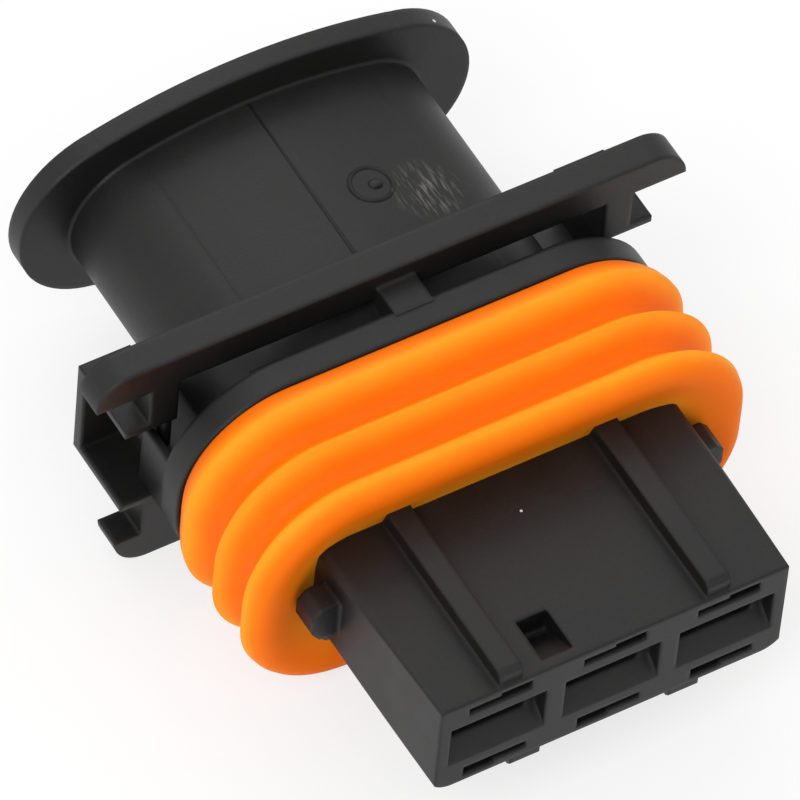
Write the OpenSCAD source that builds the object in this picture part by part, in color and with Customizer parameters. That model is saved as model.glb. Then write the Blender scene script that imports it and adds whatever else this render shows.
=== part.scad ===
// Sealed three-way automotive wire connector, female half, shown before its wires are fitted.
// X runs along the long axis, the mating face looks to -Y and the wires leave to +Y.
// It lies on one broad side, with Z = 0 where it rests. A depth d is measured back from the mating face.

/* [Chambers] */
// Spacing of the three terminal chambers
pitch = 5.0; // [4.95:0.01:5.05]
// Width of the lead-in funnel at the mating face
funnel_w = 4.2; // [4:0.05:4.3]
// Height of the lead-in funnel at the mating face
funnel_h = 2.2; // [2:0.05:2.4]
// Width of the slot that the blade enters
blade_w = 3.2; // [3:0.05:3.3]
// Height of the slot that the blade enters
blade_h = 0.95; // [0.9:0.05:1.1]
// Width of the release slots above and below each funnel
release_w = 2.75; // [2.5:0.05:2.8]
// Height of a release slot at its shallow half
release_h = 0.4; // [0.3:0.05:0.45]
// Width inside a terminal cavity
cavity_w = 3.9; // [3.85:0.05:4]
// Height inside a terminal cavity
cavity_h = 2.4; // [2.35:0.05:2.5]

/* [Mating block] */
// Width of the block at the mating face
block_w = 15.2; // [15:0.1:15.6]
// Extra width on each side where the block meets the seal
block_draft = 0.3; // [0.1:0.05:0.5]
// Height of the block
block_h = 4.9; // [4.8:0.1:5.1]
// Distance of the two upper guide ribs from the centre line
top_rib_x = 4.55; // [4.4:0.05:4.7]
// Width of an upper guide rib
top_rib_w = 1.0; // [0.8:0.05:1.2]
// Distance of the two lower guide ribs from the centre line
low_rib_x = 3.5; // [3.3:0.1:3.7]
// Width of a lower guide rib
low_rib_w = 1.3; // [1:0.1:1.5]
// Height of all four guide ribs
rib_h = 0.75; // [0.5:0.05:0.9]

/* [Radial seal] */
// Depth of the seal's front end
seal_front = 8.05; // [8:0.05:8.3]
// Width over the seal's lips
seal_w = 22.0; // [21.8:0.1:22.2]
// Height over the seal's lips
seal_h = 11.0; // [10.8:0.1:11.2]
// Spacing of the three lips
lip_pitch = 2.15; // [2:0.05:2.2]

/* [Body] */
// Depth of the collar's front face, behind the seal
collar_front = 14.5; // [14.4:0.05:14.6]
// Depth of the collar's rear face
collar_rear = 15.7; // [15.5:0.1:15.9]
// Width over the collar
collar_w = 21.4; // [21:0.1:21.6]
// Height over the collar
collar_h = 10.2; // [10:0.1:10.4]
// Width of the rear tube
tube_w = 15.7; // [15.6:0.1:16]
// Height of the rear tube
tube_h = 8.0; // [7.8:0.1:8.2]
// Width of the rear flange
flange_w = 20.1; // [19.8:0.1:20.6]
// Height of the rear flange
flange_h = 10.3; // [10:0.1:10.6]
// Thickness of the rear flange
flange_t = 0.95; // [0.8:0.05:1.2]
// Overall length
length = 29.0; // [28.8:0.1:29.4]

/* [Latch ring] */
// Depth of the latch ring's front face
ring_front = 17.0; // [16.9:0.05:17.1]
// Thickness of the latch ring
ring_t = 1.35; // [1.2:0.05:1.5]
// Half height of the latch ring
ring_half_h = 5.9; // [5.8:0.05:6]
// Half width over the upper ears
ear_half_w = 13.0; // [12.7:0.1:13.2]
// Half width over the lower ears
low_ear_half_w = 11.8; // [11.6:0.1:12]
// Half height over the side grips
grip_half_h = 2.45; // [2.3:0.05:2.6]
// Half width over the side grips
grip_half_w = 11.65; // [11.5:0.05:11.8]
// Depth of the grips' rear ends
grip_rear = 20.7; // [20:0.1:21.2]

/* [Wire seals] */
// Diameter of the rear bores that hold the wire seals
seal_bore = 4.4; // [4.35:0.05:4.5]
// Diameter of the hole that grips the wire's insulation
wire_hole = 1.6; // [1.4:0.1:1.6]

/* [Hidden] */
$fn = 64;

ways = [-1, 0, 1];
y_face = -length / 2;             // the part is centred on its length
mid_z = ring_half_h;              // the ring and flange rest on Z = 0
slip = 0.02;                      // clearance between pieces that seat on one another
cut = 0.5;                        // how far a cutter runs past the face it opens

face_wall = 1.6;                  // depth at which the terminal cavities start
funnel_deep = 0.75;               // depth of the lead-in funnel
lance_shoulder = 7.6;             // the terminal's tangs snap in front of this shoulder
lance_h = 2.05;                   // half height of the tang grooves
cavity_rear = 13.6;               // the round seal bores start here
recess_front = 24.2;              // floor of the rear recess
recess_w = 14.2;
recess_h = 6.3;
oval_seam = 0.4;                  // keeps the arcs of an oval from ending at their tangent point
ear_r = 1.5;
ear_low_z = 4.4;                  // the ears' lower edge, above the mid-plane
neck_half_w = 10.65;              // the ring between an ear and a grip
ring_hole_half_w = 9.4;
grip_leaf = 0.35;                 // thickness of a side grip's leaves
flange_up = 0.45;                 // the flange sits a little above the mid-plane

box_wall = 0.3;
crimp_bore = 2.0;                 // inside the open wire crimps, before they are closed
spring_wall = 0.15;
terminal_w = 3.4;
terminal_h = 1.9;
terminal_front = 1.75;
terminal_box = 6.6;               // length of the blade receptacle
wire_seal_front = 18.4;
wire_seal_len = 5.6;

black = "#27282b";
orange = "#ff8c00";

// ---- shared shapes -------------------------------------------------------------------------

// extrudes an outline drawn in the front view from depth d0 to depth d1
module slab(d0, d1) {
    translate([0, y_face + d1, mid_z]) rotate([90, 0, 0]) linear_extrude(d1 - d0) children();
}

// extrudes an outline drawn in the (depth, height) plane across a width centred on x
module across(x, w) {
    translate([x - w / 2, y_face, mid_z]) rotate([90, 0, 90]) linear_extrude(w) children();
}

module rounded(w, h, r) {
    square([w - 2 * r, h], center = true);
    square([w, h - 2 * r], center = true);
    for (sx = [-1, 1], sz = [-1, 1]) translate([sx * (w / 2 - r), sz * (h / 2 - r)]) circle(r);
}

// oval with round ends of radius r and gently bowed long sides, whose arcs meet in a seam too shallow to see
module oval(w, h, r) {
    x_end = w / 2 - r;
    big = (x_end * x_end + h * h / 4 - r * r) / (h - 2 * r);
    intersection() {
        translate([0, h / 2 - big]) circle(big, $fn = 256);
        translate([0, big - h / 2]) circle(big, $fn = 256);
        square([2 * x_end * big / (big - r) - 2 * oval_seam, h + 1], center = true);
    }
    for (s = [-1, 1]) translate([s * x_end, 0]) circle(r);
}

// ---- housing ---------------------------------------------------------------------------------

module block() {
    rear_w = block_w + 2 * block_draft;
    difference() {
        slab(0, collar_front + cut) rounded(rear_w, block_h, 0.4);
        for (s = [-1, 1]) // draft of the narrow sides
            translate([0, 0, mid_z - block_h]) linear_extrude(2 * block_h) polygon([
                [s * block_w / 2, y_face - cut], [s * block_w / 2, y_face],
                [s * rear_w / 2, y_face + seal_front], [s * rear_w / 2 + s, y_face + seal_front],
                [s * rear_w / 2 + s, y_face - cut]]);
        for (s = [-1, 1]) // rounded lower corners
            slab(-cut, seal_front) translate([s * (block_w / 2 - 0.8), -block_h / 2 + 1.1])
                difference() {
                    translate([s > 0 ? 0 : -3, -3]) square([3, 3]);
                    circle(1.1);
                }
    }
}

module guide_rib(x, side, w) {
    across(x, w) polygon([
        [0.15, 0], [0.15, side * (block_h / 2 + rib_h - 0.2)], [0.35, side * (block_h / 2 + rib_h)],
        [seal_front + 0.9, side * (block_h / 2 + rib_h)], [seal_front + 0.9, 0]]);
}

module seal_nib(s) {
    slab(7.0, 8.25) polygon([
        [s * 7, -0.7], [s * 8.7, -0.5], [s * 9.05, 0], [s * 9.05, 0.8], [s * 8.7, 1.2], [s * 7, 1.3]]);
}

module collar() {
    slab(collar_front, collar_rear) rounded(collar_w, collar_h, 4.7);
    for (s = [-1, 1]) // low lip along the rear edge of the long sides
        slab(collar_rear, collar_rear + 0.25) translate([0, s * (collar_h / 2 - 0.45)])
            square([14, 0.3], center = true);
}

module ring_outline() {
    bar = ring_half_h - ear_low_z;
    for (s = [-1, 1]) {
        half = s > 0 ? ear_half_w : low_ear_half_w;
        translate([0, s * (ring_half_h - bar / 2)]) square([2 * (half - ear_r), bar], center = true);
        for (k = [-1, 1]) translate([k * (half - ear_r), s * ear_low_z])
            intersection() {
                circle(ear_r);
                translate([-ear_r, s > 0 ? 0 : -ear_r]) square([2 * ear_r, ear_r]);
            }
    }
    for (k = [-1, 1], s = [-1, 1]) // necks between the ears and the side grips
        translate([k * (neck_half_w + ring_hole_half_w) / 2, s * (ear_low_z + grip_half_h) / 2])
            square([neck_half_w - ring_hole_half_w, ear_low_z - grip_half_h + 0.2], center = true);
}

module latch_ring() {
    slab(ring_front, ring_front + ring_t) ring_outline();
    // open side grips: two leaves running back from the ring, closed by a wall at the rear
    for (k = [-1, 1]) translate([k * (ring_hole_half_w + grip_half_w) / 2, 0]) {
        for (s = [-1, 1]) slab(ring_front, grip_rear) translate([0, s * (grip_half_h - grip_leaf / 2)])
            square([grip_half_w - ring_hole_half_w, grip_leaf], center = true);
        slab(grip_rear - 0.5, grip_rear)
            square([grip_half_w - ring_hole_half_w, 2 * grip_half_h], center = true);
    }
    for (s = [-1, 1]) // centre posts between collar and ring
        slab(collar_rear - 0.2, ring_front + 0.3) translate([0, s * 4.6]) square([1.7, 1.1], center = true);
}

module chamber_cut(x) {
    // funnel and blade slot
    translate([x, 0, 0]) {
        across(0, funnel_w) polygon([
            [-cut, -funnel_h / 2], [0, -funnel_h / 2], [funnel_deep, -blade_h / 2],
            [funnel_deep, blade_h / 2], [0, funnel_h / 2], [-cut, funnel_h / 2]]);
        slab(0, face_wall + cut) square([blade_w, blade_h], center = true);
        slab(face_wall, cavity_rear + cut) square([cavity_w, cavity_h], center = true);
        slab(cavity_rear, recess_front + cut) circle(d = seal_bore);
        for (s = [-1, 1]) {
            slab(-cut, lance_shoulder) translate([0, s * (lance_h - release_h / 2)])
                square([release_w, release_h], center = true);
            slab(-cut, lance_shoulder) translate([s * release_w / 4, s * (lance_h - 0.1)])
                square([release_w / 2, 0.5], center = true);
            slab(face_wall + 0.6, lance_shoulder) translate([0, s * lance_h / 2])
                square([release_w, lance_h], center = true);
        }
    }
}

module housing() color(black) difference() {
    union() {
        block();
        for (s = [-1, 1]) {
            guide_rib(s * top_rib_x, 1, top_rib_w);
            guide_rib(s * low_rib_x, -1, low_rib_w);
            seal_nib(s);
        }
        collar();
        slab(collar_rear - 0.5, length - flange_t) oval(tube_w, tube_h, 3.4);
        slab(length - flange_t, length) translate([0, flange_up]) oval(flange_w, flange_h, 4.3);
        latch_ring();
    }
    for (k = ways) chamber_cut(k * pitch);
    slab(recess_front, length + cut) rounded(recess_w, recess_h, 2.4);
    // moulding window in the web between two chambers
    across(-pitch / 2 + 0.2, 1.35) polygon([
        [0.5, block_h / 2 + cut], [0.5, block_h / 2 - 0.1], [2.2, block_h / 2 - 1.1],
        [2.5, block_h / 2 - 1.1], [2.5, block_h / 2 + cut]]);
}

// ---- radial seal -----------------------------------------------------------------------------

lip_r = 0.95;
seal_root = 1.15;                 // how far the grooves lie under the lip crests
seal_r = 4.8;                     // corner radius over the lips
seal_slope = 2.1;                 // width of the hollow front face between lip and block
seal_dish = 0.85;                 // depth of that hollow

// section through the seal wall, x = distance from the sweep centre, y = depth
module seal_section(crest) {
    rear = collar_front - slip;
    inner = max(crest - lip_r - seal_slope, 0.2);
    dish = seal_dish * (crest - lip_r - inner) / seal_slope;
    polygon([
        [0, seal_front + dish], [inner, seal_front + dish], [crest - lip_r, seal_front],
        [crest - seal_root, seal_front + lip_r], [crest - seal_root, rear], [0, rear]]);
    for (i = [0:2]) translate([crest - lip_r, seal_front + lip_r + i * lip_pitch]) circle(lip_r, $fn = 40);
}

module radial_seal() color(orange) difference() {
    translate([0, y_face, mid_z]) for (sx = [0, 1], sz = [0, 1]) mirror([sx, 0, 0]) mirror([0, 0, sz]) {
        translate([seal_w / 2 - seal_r, 0, seal_h / 2 - seal_r]) rotate([-90, 0, 0])
            rotate_extrude(angle = -90) seal_section(seal_r);
        rotate([90, 0, 90]) linear_extrude(seal_w / 2 - seal_r) mirror([1, -1, 0]) seal_section(seal_h / 2);
        linear_extrude(seal_h / 2 - seal_r) seal_section(seal_w / 2);
    }
    slab(seal_front - 2, collar_front + 1)
        rounded(block_w + 2 * block_draft + 2 * slip, block_h + 2 * slip, 0.4);
    for (s = [-1, 1]) {
        slab(seal_front - 2, seal_front + 0.9 + slip) translate([s * top_rib_x, block_h / 2])
            square([top_rib_w + 2 * slip, 2 * rib_h + 2 * slip], center = true);
        slab(seal_front - 2, seal_front + 0.9 + slip) translate([s * low_rib_x, -block_h / 2])
            square([low_rib_w + 2 * slip, 2 * rib_h + 2 * slip], center = true);
    }
}

// ---- terminals, springs and wire seals -----------------------------------------------------------

module terminal(k) color("#b08d57") translate([k * pitch, 0, 0]) {
    difference() {
        slab(terminal_front, terminal_front + terminal_box) square([terminal_w, terminal_h], center = true);
        slab(terminal_front - 1, terminal_front + terminal_box - 0.4)
            square([terminal_w - 2 * box_wall, terminal_h - 2 * box_wall], center = true);
    }
    // contact springs inside the receptacle
    for (s = [-1, 1]) across(0, 1.8) polygon([
        [terminal_front + 0.5, s * 0.75], [terminal_front + 2.2, s * 0.38], [terminal_front + 2.9, s * 0.38],
        [terminal_front + 4.6, s * 0.75]]);
    // transition and wire crimp, open to the top
    difference() {
        slab(terminal_front + terminal_box - 0.4, 17.2) translate([0, -0.1]) rounded(2.6, 2.0, 0.9);
        slab(terminal_front + terminal_box + 0.6, 18) {
            translate([0, 0.1]) circle(d = crimp_bore);
            translate([0, 1]) square([1.2, 2], center = true);
        }
        slab(13.2, 14.2) translate([0, 1.2]) square([4, 2.4], center = true);
    }
}

module terminal_spring(k) color("#b9bcc0") translate([k * pitch, 0, 0]) {
    w = terminal_w + 2 * slip;
    h = terminal_h + 2 * slip;
    difference() {
        slab(terminal_front + 0.1, terminal_front + 5.6)
            square([w + 2 * spring_wall, h + 2 * spring_wall], center = true);
        slab(terminal_front - 1, terminal_front + 7) square([w, h], center = true);
        for (s = [-1, 1]) slab(terminal_front + 1.6, terminal_front + 7)
            translate([0, s * 1.1]) square([1.7, 0.8], center = true);
    }
    // tangs that snap behind the shoulders in the cavity
    for (s = [-1, 1]) across(0, 1.5) polygon([
        [terminal_front + 1.4, s * h / 2], [terminal_front + 1.4, s * (h / 2 + spring_wall)],
        [lance_shoulder - 0.05, s * (lance_h - 0.15)], [lance_shoulder - 0.05, s * (lance_h - 0.3)]]);
}

module wire_seal(k) color("#2f6fb5") translate([k * pitch, y_face, mid_z]) rotate([-90, 0, 0])
    rotate_extrude() difference() {
        union() {
            translate([0, wire_seal_front - 1]) square([1.45, 1.2]);
            translate([0, wire_seal_front]) square([seal_bore / 2 - 0.45, wire_seal_len]);
            for (i = [0:2]) translate([seal_bore / 2 - slip - 0.45, wire_seal_front + 1 + i * 1.7]) circle(0.45);
        }
        translate([-5, 0]) square([5 + wire_hole / 2, length]);
    }

housing();
radial_seal();
terminal(-1);  // terminal_1
terminal(0);  // terminal_2
terminal(1);  // terminal_3
terminal_spring(-1);  // terminal_spring_1
terminal_spring(0);  // terminal_spring_2
terminal_spring(1);  // terminal_spring_3
wire_seal(-1);  // wire_seal_1
wire_seal(0);  // wire_seal_2
wire_seal(1);  // wire_seal_3
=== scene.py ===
import bpy
import math
from mathutils import Vector, Matrix


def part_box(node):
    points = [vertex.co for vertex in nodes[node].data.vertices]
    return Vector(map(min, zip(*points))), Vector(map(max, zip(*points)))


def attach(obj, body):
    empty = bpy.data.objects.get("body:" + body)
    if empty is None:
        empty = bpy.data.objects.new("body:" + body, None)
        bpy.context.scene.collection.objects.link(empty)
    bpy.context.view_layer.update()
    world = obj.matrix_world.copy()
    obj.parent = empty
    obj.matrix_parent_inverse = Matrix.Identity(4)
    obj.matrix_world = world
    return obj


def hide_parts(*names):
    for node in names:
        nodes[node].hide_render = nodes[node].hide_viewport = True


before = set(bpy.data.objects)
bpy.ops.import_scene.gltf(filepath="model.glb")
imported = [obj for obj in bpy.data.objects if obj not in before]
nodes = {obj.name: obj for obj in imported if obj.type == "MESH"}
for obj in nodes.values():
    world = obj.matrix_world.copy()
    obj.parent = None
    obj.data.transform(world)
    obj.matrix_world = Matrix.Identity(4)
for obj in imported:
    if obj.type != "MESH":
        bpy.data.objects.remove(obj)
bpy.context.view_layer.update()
mm = 0.001
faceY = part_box("housing")[0].y  # the mating face
midZ = (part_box("housing")[0].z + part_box("housing")[1].z) / 2


def place(x, d, z):  # x, depth behind the mating face and height over the mid-plane, in mm
    return Vector((x * mm, faceY + d * mm, midZ + z * mm))


# ---- camera: above the mating face's left corner, on a long lens
camera = {
    "offset": (-160.5, -216.9, 360.3),  # mm from the middle of the mating face
    "right": (0.8643, -0.4992, 0.0623),
    "up": (0.3615, 0.7024, 0.6131),
    "lens": 536.6,
}
eye = bpy.data.objects.new("camera", bpy.data.cameras.new("camera"))
bpy.context.scene.collection.objects.link(eye)
right = Vector(camera["right"]).normalized()
up = (Vector(camera["up"]) - right * right.dot(Vector(camera["up"]))).normalized()
turn = Matrix((right, up, right.cross(up))).transposed().to_4x4()
eye.matrix_world = Matrix.Translation(place(0, 0, 0) + Vector(camera["offset"]) * mm) @ turn
eye.data.sensor_width = 36
eye.data.lens = camera["lens"]
eye.data.clip_start = 0.01
eye.data.clip_end = 20
bpy.context.scene.camera = eye
print("camera set")


# ---- materials
def hexColour(code):  # sRGB hex to linear
    parts = [int(code[i:i + 2], 16) / 255 for i in (1, 3, 5)]
    return (*[c / 12.92 if c <= 0.04045 else ((c + 0.055) / 1.055) ** 2.4 for c in parts], 1)


def addNode(tree, kind, settings=None, links=None):
    node = tree.nodes.new(kind)
    for name, value in (settings or {}).items():
        if isinstance(name, str) and hasattr(node, name) and name not in node.inputs:
            setattr(node, name, value)
        else:
            node.inputs[name].default_value = value
    for name, source in (links or {}).items():
        tree.links.new(source, node.inputs[name])
    return node


def newMaterial(name):
    material = bpy.data.materials.new(name)
    material.use_nodes = True
    tree = material.node_tree
    tree.nodes.clear()
    return material, tree


def finishMaterial(tree, shader):
    addNode(tree, "ShaderNodeOutputMaterial", links={"Surface": shader.outputs[0]})


def setStops(node, stops):  # (position, colour) pairs of a colour ramp
    elements = node.color_ramp.elements
    while len(elements) < len(stops):
        elements.new(0.5)
    for element, (where, colour) in zip(elements, stops):
        element.position = where
        element.color = colour


plastic = {
    "dark": "#0e0d0d",
    "light": "#191817",
    "dust": "#cfcac2",
    "scuff": "#8d8b86",
    "rough": 0.46, "ior": 1.43,
    "softEdge": 0.27,  # mm, radius on the moulded edges
    "grain": 0.14,  # mm, spark-eroded mould texture
    "cloud": 3.0,   # mm, uneven gloss of glass fibres at the skin
    "speckCell": 2.4, "speckSize": 0.035, "speckShare": 0.45,  # mm, share of the cell, share left clean
    "rub": (4.04, 21.3, 3.8), "rubInner": 0.5, "rubOuter": 1.7,  # mm, the rubbed patch beside the gate mark
    "rubTurn": 28, "rubScale": (9000, 1300, 2500), "rubStrength": 0.55,  # degrees, strokes per metre
}


# moulded black polyester: dull, finely grained, greyer where the fibres reach the skin
def glassFilledPolyester():
    material, tree = newMaterial("glassFilledPolyester")
    coords = addNode(tree, "ShaderNodeTexCoord").outputs["Object"]
    cloud = addNode(tree, "ShaderNodeTexNoise", {
        "Scale": 1 / (plastic["cloud"] * mm), "Detail": 4, "Roughness": 0.6,
    }, {"Vector": coords})
    grain = addNode(tree, "ShaderNodeTexNoise", {
        "Scale": 1 / (plastic["grain"] * mm), "Detail": 3, "Roughness": 0.7,
    }, {"Vector": coords})
    tone = addNode(tree, "ShaderNodeMath", {"operation": "MULTIPLY_ADD", 1: 0.5}, {0: grain.outputs["Fac"]})
    halfCloud = addNode(tree, "ShaderNodeMath", {"operation": "MULTIPLY", 1: 0.5}, {
        0: cloud.outputs["Fac"],
    })
    tree.links.new(halfCloud.outputs[0], tone.inputs[2])
    base = addNode(tree, "ShaderNodeValToRGB", links={"Fac": tone.outputs[0]})
    setStops(base, [(0.35, hexColour(plastic["dark"])), (0.65, hexColour(plastic["light"]))])
    # a few dust specks
    cells = addNode(tree, "ShaderNodeTexVoronoi", {
        "Scale": 1 / (plastic["speckCell"] * mm), "Randomness": 1.0,
    }, {"Vector": coords})
    near = addNode(tree, "ShaderNodeMath", {"operation": "LESS_THAN", 1: plastic["speckSize"]}, {
        0: cells.outputs["Distance"],
    })
    pick = addNode(tree, "ShaderNodeSeparateColor", {}, {"Color": cells.outputs["Color"]})
    some = addNode(tree, "ShaderNodeMath", {"operation": "GREATER_THAN", 1: plastic["speckShare"]}, {
        0: pick.outputs[0],
    })
    speck = addNode(tree, "ShaderNodeMath", {"operation": "MULTIPLY"}, {
        0: near.outputs[0], 1: some.outputs[0],
    })
    dusty = addNode(tree, "ShaderNodeMix", {"data_type": "RGBA"}, {
        "Factor": speck.outputs[0], "A": base.outputs["Color"],
    })
    dusty.inputs["B"].default_value = hexColour(plastic["dust"])
    # rubbed patch beside the gate mark
    centre = place(*plastic["rub"])
    away = addNode(tree, "ShaderNodeVectorMath", {"operation": "DISTANCE", 1: centre}, {0: coords})
    patch = addNode(tree, "ShaderNodeMapRange", {
        "From Min": plastic["rubInner"] * mm, "From Max": plastic["rubOuter"] * mm,
        "To Min": 1.0, "To Max": 0.0,
    }, {"Value": away.outputs["Value"]})
    turned = addNode(tree, "ShaderNodeMapping", {
        "Rotation": (0, 0, math.radians(plastic["rubTurn"])), "Scale": plastic["rubScale"],
    }, {"Vector": coords})
    streak = addNode(tree, "ShaderNodeTexNoise", {"Scale": 1.0, "Detail": 3}, {"Vector": turned.outputs[0]})
    rubbed = addNode(tree, "ShaderNodeMapRange", {"From Min": 0.5, "From Max": 0.72}, {
        "Value": streak.outputs["Fac"],
    })
    scuff = addNode(tree, "ShaderNodeMath", {"operation": "MULTIPLY"}, {
        0: patch.outputs[0], 1: rubbed.outputs[0],
    })
    faint = addNode(tree, "ShaderNodeMath", {"operation": "MULTIPLY", 1: plastic["rubStrength"]}, {
        0: scuff.outputs[0],
    })
    colour = addNode(tree, "ShaderNodeMix", {"data_type": "RGBA"}, {
        "Factor": faint.outputs[0], "A": dusty.outputs["Result"],
    })
    colour.inputs["B"].default_value = hexColour(plastic["scuff"])
    gloss = addNode(tree, "ShaderNodeMapRange", {
        "To Min": plastic["rough"] - 0.08, "To Max": plastic["rough"] + 0.12,
    }, {"Value": cloud.outputs["Fac"]})
    edge = addNode(tree, "ShaderNodeBevel", {"samples": 6, "Radius": plastic["softEdge"] * mm})
    bump = addNode(tree, "ShaderNodeBump", {"Strength": 0.3, "Distance": 0.025 * mm}, {
        "Height": grain.outputs["Fac"], "Normal": edge.outputs[0],
    })
    shader = addNode(tree, "ShaderNodeBsdfPrincipled", {"IOR": plastic["ior"]}, {
        "Base Color": colour.outputs["Result"], "Roughness": gloss.outputs[0], "Normal": bump.outputs[0],
    })
    finishMaterial(tree, shader)
    return material


rubber = {
    "body": "#ff8402",
    "deep": "#fa7700",
    # the next two colours are painted shade in the seal's grooves and a painted highlight on its crests
    "groove": "#f26c00",
    "crest": "#ffa524",
    "rough": 0.55,
    "cloud": 1.6,  # mm, pigment
    "fine": 0.1,   # mm, mould grain
}


# moulded silicone: satin and slightly translucent; when lips are given, painted shade deepens the grooves
# and a painted highlight pales the crests
def siliconeRubber(name, body, deep, glow, lips=None):
    material, tree = newMaterial(name)
    coords = addNode(tree, "ShaderNodeTexCoord").outputs["Object"]
    cloud = addNode(tree, "ShaderNodeTexNoise", {"Scale": 1 / (rubber["cloud"] * mm), "Detail": 3}, {
        "Vector": coords,
    })
    fine = addNode(tree, "ShaderNodeTexNoise", {"Scale": 1 / (rubber["fine"] * mm), "Detail": 2}, {
        "Vector": coords,
    })
    base = addNode(tree, "ShaderNodeValToRGB", links={"Fac": cloud.outputs["Fac"]})
    setStops(base, [(0.3, hexColour(deep)), (0.7, hexColour(body))])
    colour = base.outputs["Color"]
    if lips:  # painted shade deepens the grooves and a painted highlight pales the crests, laid along the depth, since shape and light alone part the lips too little
        first, pitch = lips
        depth = addNode(tree, "ShaderNodeSeparateXYZ", {}, {"Vector": coords}).outputs["Y"]
        turns = 2 * math.pi / (pitch * mm)
        phase = addNode(tree, "ShaderNodeMath", {
            "operation": "MULTIPLY_ADD", 1: turns, 2: -turns * (faceY + first * mm),
        }, {0: depth})
        wave = addNode(tree, "ShaderNodeMath", {"operation": "COSINE"}, {0: phase.outputs[0]})
        share = addNode(tree, "ShaderNodeMapRange", {"From Min": -1.0, "From Max": 0.9}, {
            "Value": wave.outputs[0],
        })
        # painted shade: the deeper colour laid into the grooves
        groove = addNode(tree, "ShaderNodeMix", {"data_type": "RGBA"}, {
            "Factor": share.outputs[0], "B": colour,
        })
        groove.inputs["A"].default_value = hexColour(rubber["groove"])
        # painted highlight: the paler colour laid on the crests
        crest = addNode(tree, "ShaderNodeMath", {"operation": "POWER", 1: 3.0}, {0: share.outputs[0]})
        highlightShare = addNode(tree, "ShaderNodeMath", {"operation": "MULTIPLY", 1: 0.6}, {0: crest.outputs[0]})
        paintedCrestHighlight = addNode(tree, "ShaderNodeMix", {"data_type": "RGBA"}, {
            "Factor": highlightShare.outputs[0], "A": groove.outputs["Result"],
        })
        paintedCrestHighlight.inputs["B"].default_value = hexColour(rubber["crest"])
        colour = paintedCrestHighlight.outputs["Result"]
    gloss = addNode(tree, "ShaderNodeMapRange", {
        "To Min": rubber["rough"] - 0.05, "To Max": rubber["rough"] + 0.1,
    }, {"Value": fine.outputs["Fac"]})
    bump = addNode(tree, "ShaderNodeBump", {"Strength": 0.15, "Distance": 0.02 * mm}, {
        "Height": fine.outputs["Fac"],
    })
    shader = addNode(tree, "ShaderNodeBsdfPrincipled", {
        "IOR": 1.22, "Subsurface Weight": glow,
        "Subsurface Radius": (1.0, 0.4, 0.05), "Subsurface Scale": 0.35 * mm,
    }, {"Base Color": colour, "Roughness": gloss.outputs[0], "Normal": bump.outputs[0]})
    finishMaterial(tree, shader)
    return material


# stamped strip: fine rolling lines along its length, slightly uneven shine
def rolledMetal(name, colour, rough):
    material, tree = newMaterial(name)
    coords = addNode(tree, "ShaderNodeTexCoord").outputs["Object"]
    across, along = 1 / (0.05 * mm), 1 / (1.5 * mm)
    lines = addNode(tree, "ShaderNodeMapping", {"Scale": (across, along, across)}, {"Vector": coords})
    rolled = addNode(tree, "ShaderNodeTexNoise", {"Scale": 1.0, "Detail": 3}, {"Vector": lines.outputs[0]})
    bright = hexColour(colour)
    dull = (*[c * 0.8 for c in bright[:3]], 1)
    tone = addNode(tree, "ShaderNodeValToRGB", links={"Fac": rolled.outputs["Fac"]})
    setStops(tone, [(0.3, dull), (0.7, bright)])
    gloss = addNode(tree, "ShaderNodeMapRange", {"To Min": rough - 0.08, "To Max": rough + 0.12}, {
        "Value": rolled.outputs["Fac"],
    })
    bump = addNode(tree, "ShaderNodeBump", {"Strength": 0.2, "Distance": 0.005 * mm}, {
        "Height": rolled.outputs["Fac"],
    })
    shader = addNode(tree, "ShaderNodeBsdfPrincipled", {"Metallic": 1.0}, {
        "Base Color": tone.outputs["Color"], "Roughness": gloss.outputs[0], "Normal": bump.outputs[0],
    })
    finishMaterial(tree, shader)
    return material


seal = {
    "halfWidth": 11.0, "halfHeight": 5.5, "corner": 4.8,  # mm over the lips
    "first": 9.0, "pitch": 2.15, "lips": 3,               # depth of the front crest, spacing
    "groove": 0.98, "sharp": 0.68,                        # groove depth, and how narrow the crests are
    "front": 8.2, "rear": 14.46, "inner": 3.3,
}
blackPlastic = glassFilledPolyester()
# depths where the painted shade and painted highlight of the lips fall
lipPlaces = (seal["first"], seal["pitch"])
orangeSilicone = siliconeRubber("orangeSilicone", rubber["body"], rubber["deep"], 0.25, lipPlaces)
blueSilicone = siliconeRubber("blueSilicone", "#2f68ad", "#285c9c", 0.15)
tinnedBronze = rolledMetal("tinnedBronze", "#c9c2b4", 0.32)
springSteel = rolledMetal("springSteel", "#b4b6b8", 0.28)
finishes = {"housing": blackPlastic, "radial_seal": orangeSilicone}
for name, thing in nodes.items():
    if name.startswith("terminal_spring"):
        finish = springSteel
    elif name.startswith("terminal"):
        finish = tinnedBronze
    elif name.startswith("wire_seal"):
        finish = blueSilicone
    else:
        finish = finishes[name]
    thing.data.materials.clear()
    thing.data.materials.append(finish)
print("materials made")


# ---- radial seal: three lips swept round a rounded rectangle
def sealProfile():  # (height over the crests, depth) from the front's inner edge to the rear's
    points = [
        (-seal["inner"], 8.95), (-3.0, 8.9), (-2.5, 8.72), (-1.9, 8.5), (-1.3, 8.3),  # dished front
        (-0.85, seal["front"]), (-0.5, 8.28), (-0.24, 8.45), (-0.08, 8.68),
    ]
    steps = 14
    for lip in range(seal["lips"] - 1):
        for i in range(steps):
            t = i / steps
            dip = seal["groove"] * math.sin(math.pi * t) ** (2 * seal["sharp"])
            points.append((-dip, seal["first"] + (lip + t) * seal["pitch"]))
    last = seal["first"] + (seal["lips"] - 1) * seal["pitch"]
    points += [
        (0, last), (-0.03, last + 0.25), (-0.12, last + 0.55), (-0.27, last + 0.85), (-0.42, last + 1.05),
        (-0.5, seal["rear"]), (-seal["inner"], seal["rear"]),
    ]
    return points


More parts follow.
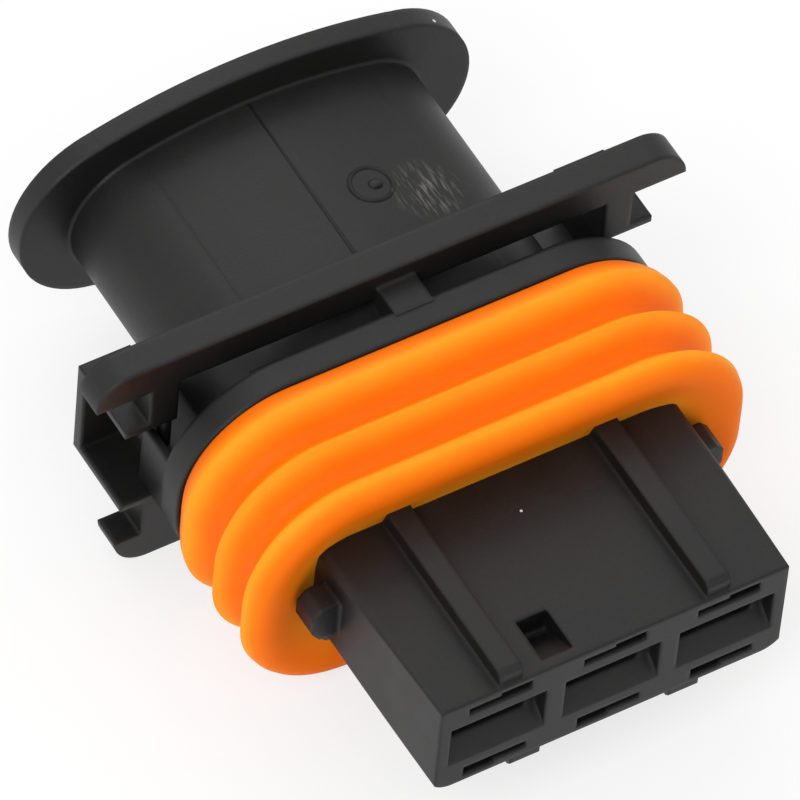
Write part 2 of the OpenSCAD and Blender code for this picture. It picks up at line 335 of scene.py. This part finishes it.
def flatCurve(name, points):
    curve = bpy.data.curves.new(name, "CURVE")
    curve.dimensions = "2D"
    curve.fill_mode = "NONE"
    spline = curve.splines.new("POLY")
    spline.points.add(len(points) - 1)
    for point, (x, y) in zip(spline.points, points):
        point.co = (x * mm, y * mm, 0, 1)
    spline.use_cyclic_u = True
    thing = bpy.data.objects.new(name, curve)
    bpy.context.scene.collection.objects.link(thing)
    return thing


def roundedLoop(halfWidth, halfHeight, radius, steps):
    points = []
    for corner, (sx, sy) in enumerate(((1, 1), (-1, 1), (-1, -1), (1, -1))):
        for i in range(steps + 1):
            a = math.pi / 2 * (corner + i / steps)
            x, y = sx * (halfWidth - radius), sy * (halfHeight - radius)
            points.append((x + radius * math.cos(a), y + radius * math.sin(a)))
    return points


def chosen(thing):
    bpy.ops.object.select_all(action="DESELECT")
    thing.select_set(True)
    bpy.context.view_layer.objects.active = thing


def settle(thing):  # place goes into the mesh, the object to the origin
    chosen(thing)
    bpy.ops.object.transform_apply(location=True, rotation=True, scale=True)
    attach(thing, "root")


def makeSeal():
    section = flatCurve("sealSection", [(-x, d) for x, d in sealProfile()])  # a curve's bevel has x inwards
    loop = flatCurve("siliconeSeal", roundedLoop(seal["halfWidth"], seal["halfHeight"], seal["corner"], 24))
    loop.data.bevel_mode = "OBJECT"
    loop.data.bevel_object = section
    chosen(loop)
    bpy.ops.object.convert(target="MESH")
    piece = bpy.context.object
    bpy.data.objects.remove(section)
    piece.rotation_euler = (math.radians(-90), 0, 0)
    piece.location = place(0, 0, 0)
    settle(piece)
    chosen(piece)
    bpy.ops.object.mode_set(mode="EDIT")
    bpy.ops.mesh.select_all(action="SELECT")
    bpy.ops.mesh.remove_doubles(threshold=1e-6)
    bpy.ops.mesh.normals_make_consistent(inside=False)
    bpy.ops.object.mode_set(mode="OBJECT")
    bpy.ops.object.shade_smooth_by_angle(angle=math.radians(50))
    piece.data.materials.clear()
    piece.data.materials.append(orangeSilicone)
    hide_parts("radial_seal")


makeSeal()
print("seal made")

# ---- side grips: the wall on each grip's inner side, the rail to the collar, and the web beside the tube
grip = {
    "wall": ((9.4, 9.8), (17.25, 20.35), (-2.2, 2.2)),   # mm: x, depth, height
    "rail": ((9.95, 10.35), (15.4, 18.0), (-2.2, 1.15)),
    "web": ((7.7, 10.1), (15.4, 20.3), (-0.6, 0.25)),
    "edge": 0.14,
}


def softBlock(name, ranges, side, edge):  # side is -1 for a mirrored place
    (x0, x1), (d0, d1), (z0, z1) = ranges
    middle = place(side * (x0 + x1) / 2, (d0 + d1) / 2, (z0 + z1) / 2)
    size = ((x1 - x0) * mm, (d1 - d0) * mm, (z1 - z0) * mm)
    bpy.ops.object.select_all(action="DESELECT")
    bpy.ops.mesh.primitive_cube_add(size=1, location=middle, scale=size)
    piece = bpy.context.object
    piece.name = name
    settle(piece)
    bpy.ops.object.mode_set(mode="EDIT")
    bpy.ops.mesh.select_all(action="SELECT")
    bpy.ops.mesh.bevel(offset=edge * mm, segments=3, affect="EDGES")
    bpy.ops.object.mode_set(mode="OBJECT")
    bpy.ops.object.shade_smooth_by_angle(angle=math.radians(40))
    piece.data.materials.append(blackPlastic)
    return piece


for side, word in ((-1, "Left"), (1, "Right")):
    for part in ("wall", "rail", "web"):
        softBlock("grip" + part.capitalize() + word, grip[part], side, grip["edge"])
print("grips closed")

# ---- mould marks on the tube: the parting line and the gate
marks = {
    "line": ((-0.3, -0.12), (18.5, 27.9), (3.9, 4.035)),  # mm: x, depth, height
    "lineEdge": 0.03,
    "narrow": 0.45,                                       # its width at the flange against that at the ring
    "gate": (2.1, 22.35, 3.88), "gateSize": 0.85, "gateWire": 0.1, "gateFlat": 0.45, "gateTilt": 6,
    "stub": 0.32, "stubMove": (0.15, -0.05), "stubShape": (1, 0.8, 0.3),
}


def finishMark(name, shape, tilt=0):  # the primitive just added, flattened and laid on the tube
    piece = bpy.context.object
    piece.name = name
    piece.scale = shape
    piece.rotation_euler = (0, math.radians(tilt), 0)
    settle(piece)
    bpy.ops.object.shade_smooth()
    piece.data.materials.append(blackPlastic)


def makeMarks():
    line = softBlock("partingLine", marks["line"], 1, marks["lineEdge"])
    middle = sum(marks["line"][0]) / 2 * mm
    start, end = marks["line"][1]
    for v in line.data.vertices:
        t = (v.co.y - faceY) / mm
        share = 1 - (1 - marks["narrow"]) * (t - start) / (end - start)
        v.co.x = middle + (v.co.x - middle) * share
    x, d, z = marks["gate"]
    bpy.ops.object.select_all(action="DESELECT")
    bpy.ops.mesh.primitive_torus_add(
        major_radius=marks["gateSize"] * mm, minor_radius=marks["gateWire"] * mm,
        major_segments=48, minor_segments=12, location=place(x, d, z))
    finishMark("gateMark", (1, 1, marks["gateFlat"]), marks["gateTilt"])
    moveX, moveD = marks["stubMove"]
    bpy.ops.object.select_all(action="DESELECT")
    bpy.ops.mesh.primitive_uv_sphere_add(
        segments=24, ring_count=12, radius=marks["stub"] * mm, location=place(x + moveX, d + moveD, z))
    finishMark("gateStub", marks["stubShape"])


makeMarks()
print("mould marks made")

# ---- light, floor and background
def areaLamp(name, where, size, power):
    lamp = bpy.data.objects.new(name, bpy.data.lights.new(name, "AREA"))
    bpy.context.scene.collection.objects.link(lamp)
    lamp.location = where
    lamp.rotation_mode = "QUATERNION"
    lamp.rotation_quaternion = (Vector(where) - place(0, 14, 0)).to_track_quat("Z", "Y")
    lamp.data.shape = "DISK"
    lamp.data.size = size
    lamp.data.energy = power


studio = {
    "key": ((-0.42, -0.2, 0.5), 0.4, 1.8),  # place in m, size in m, watts
    "fill": ((0.1, 0.6, 0.5), 0.5, 1.2),
    "room": 0.85,
    "floorSize": 4, "floorTone": 0.88, "floorGlow": 0.72,
}
areaLamp("keyLamp", *studio["key"])
areaLamp("fillLamp", *studio["fill"])
world = bpy.data.worlds.new("studio")
bpy.context.scene.world = world
world.use_nodes = True
tree = world.node_tree
tree.nodes.clear()
rays = addNode(tree, "ShaderNodeLightPath")
seen = addNode(tree, "ShaderNodeMath", {"operation": "MAXIMUM"}, {
    0: rays.outputs["Is Camera Ray"], 1: rays.outputs["Is Transmission Ray"],
})
level = addNode(tree, "ShaderNodeMapRange", {"To Min": studio["room"], "To Max": 1.0}, {
    "Value": seen.outputs[0],
})
sky = addNode(tree, "ShaderNodeBackground", {"Color": (1, 1, 1, 1)}, {"Strength": level.outputs[0]})
addNode(tree, "ShaderNodeOutputWorld", links={"Surface": sky.outputs[0]})

bpy.ops.object.select_all(action="DESELECT")
bpy.ops.mesh.primitive_plane_add(size=studio["floorSize"], location=(0, 0, 0))
floor = bpy.context.object
floor.name = "floor"
material, tree = newMaterial("paleBoard")  # smooth white board
rays = addNode(tree, "ShaderNodeLightPath")
seen = addNode(tree, "ShaderNodeMath", {"operation": "MAXIMUM"}, {
    0: rays.outputs["Is Camera Ray"], 1: rays.outputs["Is Glossy Ray"],
})
seenAll = addNode(tree, "ShaderNodeMath", {"operation": "MAXIMUM"}, {
    0: seen.outputs[0], 1: rays.outputs["Is Transmission Ray"],
})
share = addNode(tree, "ShaderNodeMath", {"operation": "MULTIPLY", 1: studio["floorGlow"]}, {
    0: seenAll.outputs[0],
})
board = addNode(tree, "ShaderNodeBsdfDiffuse", {"Color": (*[studio["floorTone"]] * 3, 1)})
glow = addNode(tree, "ShaderNodeEmission", {"Color": (1, 1, 1, 1), "Strength": 1.0})
mixed = addNode(tree, "ShaderNodeMixShader", {}, {
    0: share.outputs[0], 1: board.outputs[0], 2: glow.outputs[0],
})
finishMaterial(tree, mixed)
floor.data.materials.append(material)
bpy.context.scene.view_settings.view_transform = "Standard"
print("studio set")
